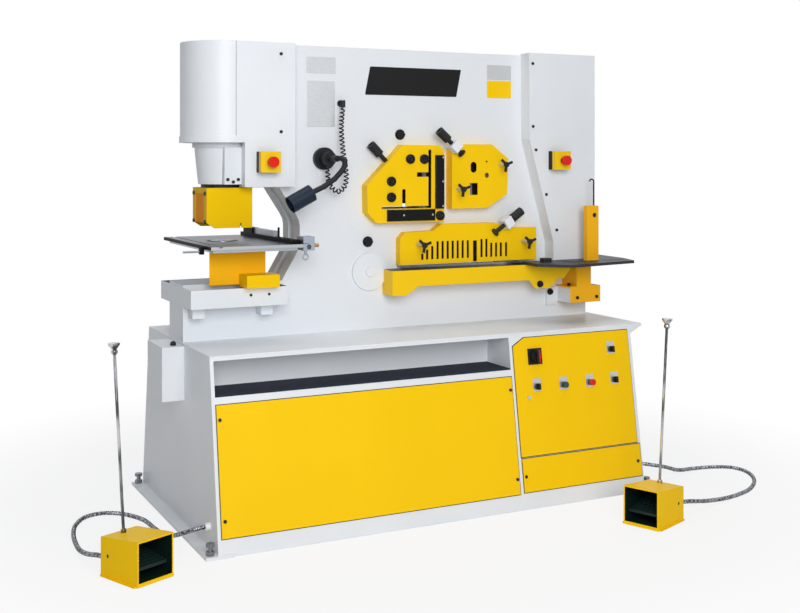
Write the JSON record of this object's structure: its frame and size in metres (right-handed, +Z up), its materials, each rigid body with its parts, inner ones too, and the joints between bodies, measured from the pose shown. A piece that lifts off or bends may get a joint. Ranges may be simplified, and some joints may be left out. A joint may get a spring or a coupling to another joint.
{
  "type": "hydraulic ironworker",
  "caption": "Floor-standing hydraulic ironworker: punch with table, angle, bar and plate shears and a notcher on a plate frame over a cabinet base, with two foot pedals.",
  "frame": {"origin": "floor level, centre of the base between its four foot corners", "axes": "+Z up, +X along the machine from the punch to the notcher, -Y towards the operator"},
  "size_m": [2.714, 1.4321, 1.754],
  "materials": {
    "white_paint": "satin",
    "yellow_paint": "satin",
    "black_paint": "satin",
    "grey_paint": "satin",
    "bright_steel": "brushed",
    "dark_steel": "blackened",
    "ground_steel": "ground",
    "mat_rubber": "ribbed",
    "lead_rubber": "smooth",
    "red_plastic": "gloss",
    "black_plastic": "matt",
    "yellow_plastic": "gloss",
    "pale_plastic": "matt",
    "conduit_metal": "corrugated"
  },
  "bodies": {
    "machine": {"base_cabinet": "white_paint", "deck_plate": "white_paint", "shelf_mat": "mat_rubber", "front_panels": "yellow_paint", "electrics": "pale_plastic", "power_pack": "grey_paint", "side_box": "white_paint", "frame_front": "white_paint", "frame_rear": "white_paint", "pivot_pin": "white_paint", "fixed_blade": "ground_steel", "shear_cylinder": "grey_paint", "shear_cover": "white_paint", "punch_cover": "white_paint", "socket_screws": "dark_steel", "hex_bolts": "bright_steel", "punch_cylinder": "grey_paint", "ram_housing": "white_paint", "punch_guard": "yellow_paint", "punch_table": "ground_steel", "side_gauge": "dark_steel", "bolster": "yellow_paint", "die": "ground_steel", "tray": "white_paint", "angle_guard": "yellow_paint", "angle_bars": "black_paint", "bar_guard": "yellow_paint", "plate_guard": "yellow_paint", "shear_table": "yellow_paint", "hold_down_blocks": "white_paint", "wing_screws": "dark_steel", "notch_table": "dark_steel", "notch_stand": "yellow_paint", "estop_boxes": "yellow_plastic", "lamp": "black_plastic", "lamp_cord": "lead_rubber", "pedal_left": "yellow_paint", "pedal_right": "yellow_paint", "conduit_left": "conduit_metal", "conduit_right": "conduit_metal"},
    "ram": {"punch_ram": "bright_steel"},
    "beam": {"shear_beam": "dark_steel", "moving_blade": "ground_steel"},
    "shear_piston": {"shear_rod": "bright_steel"},
    "door": {"control_door": "yellow_paint", "control_plates": "pale_plastic"},
    "main_switch": {"isolator": "red_plastic"},
    "selector_a": {"selector_top": "black_plastic"},
    "selector_b": {"selector_left": "black_plastic"},
    "selector_c": {"selector_right": "black_plastic"},
    "start": {"start_button": "black_plastic"},
    "stop": {"stop_button": "red_plastic"},
    "estop_a": {"estop_left": "red_plastic"},
    "estop_b": {"estop_right": "red_plastic"},
    "foot_plate_a": {"treadle_left": "black_plastic"},
    "foot_plate_b": {"treadle_right": "black_plastic"},
    "clamp_a": {"hold_down_angle": "black_plastic"},
    "clamp_b": {"hold_down_bar": "black_plastic"},
    "clamp_c": {"hold_down_plate": "black_plastic"},
    "stop_block": {"stop_rod": "bright_steel"}
  },
  "joints": [
    {"name": "punch_stroke", "type": "slide", "parent": "machine", "child": "ram", "axis": [0, 0, -1], "range_m": [0, 0.07]},
    {"name": "beam_swing", "type": "hinge", "parent": "machine", "child": "beam", "pos_m": [-0.125, 0.042, 0.875], "axis": [0, 1, 0], "range_deg": [0, 3.2]},
    {"name": "shear_piston_stroke", "type": "slide", "parent": "machine", "child": "shear_piston", "axis": [0, 0, -1], "range_m": [0, 0.05]},
    {"name": "door_swing", "type": "hinge", "parent": "machine", "child": "door", "pos_m": [0.864, -0.44412, 0.39611], "axis": [0, 0.1521, 0.9884], "range_deg": [0, 55]},
    {"name": "main_switch_turn", "type": "hinge", "parent": "door", "child": "main_switch", "pos_m": [0.41, -0.41431, 0.557], "axis": [0, -0.9884, 0.1521], "range_deg": [-90, 0]},
    {"name": "selector_top_turn", "type": "hinge", "parent": "door", "child": "selector_a", "pos_m": [0.768, -0.414, 0.559], "axis": [0, -0.9884, 0.1521], "range_deg": [-45, 45]},
    {"name": "selector_left_turn", "type": "hinge", "parent": "door", "child": "selector_b", "pos_m": [0.41, -0.43169, 0.444], "axis": [0, -0.9884, 0.1521], "range_deg": [-45, 45]},
    {"name": "selector_right_turn", "type": "hinge", "parent": "door", "child": "selector_c", "pos_m": [0.773, -0.43215, 0.441], "axis": [0, -0.9884, 0.1521], "range_deg": [-45, 45]},
    {"name": "start_press", "type": "slide", "parent": "door", "child": "start", "axis": [0, 0.9884, -0.1521], "range_m": [0, 0.004], "stiffness_N_per_m": 1500},
    {"name": "stop_press", "type": "slide", "parent": "door", "child": "stop", "axis": [0, 0.9884, -0.1521], "range_m": [0, 0.004], "stiffness_N_per_m": 1500},
    {"name": "estop_left_press", "type": "slide", "parent": "machine", "child": "estop_a", "axis": [0, 1, 0], "range_m": [0, 0.006]},
    {"name": "estop_right_press", "type": "slide", "parent": "machine", "child": "estop_b", "axis": [0, 1, 0], "range_m": [0, 0.006]},
    {"name": "pedal_left_press", "type": "hinge", "parent": "machine", "child": "foot_plate_a", "pos_m": [-1.17501, -0.47797, 0.067], "axis": [0.9135, 0.4067, 0], "range_deg": [0, 8], "stiffness_Nm_per_rad": 20, "springref_deg": -3.44},
    {"name": "pedal_right_press", "type": "hinge", "parent": "machine", "child": "foot_plate_b", "pos_m": [0.71308, -0.79981, 0.067], "axis": [0.3746, -0.9272, 0], "range_deg": [0, 8], "stiffness_Nm_per_rad": 20, "springref_deg": -3.44},
    {"name": "hold_down_angle_turn", "type": "hinge", "parent": "machine", "child": "clamp_a", "pos_m": [-0.0627, -0.084, 1.3075], "axis": [-0.7141, 0, 0.7001], "continuous": true},
    {"name": "hold_down_bar_turn", "type": "hinge", "parent": "machine", "child": "clamp_b", "pos_m": [0.255, -0.13, 1.336], "axis": [-0.7583, 0, 0.652], "continuous": true},
    {"name": "hold_down_plate_turn", "type": "hinge", "parent": "machine", "child": "clamp_c", "pos_m": [0.412, -0.12, 1.015], "axis": [0.827, 0, 0.5621], "continuous": true},
    {"name": "stop_block_slide", "type": "slide", "parent": "machine", "child": "stop_block", "axis": [0, 1, 0], "range_m": [0, 0.15]}
  ],
  "couplings": [
    {"joint": "shear_piston_stroke", "follows": "beam_swing", "m_per_rad": 0.845}
  ]
}
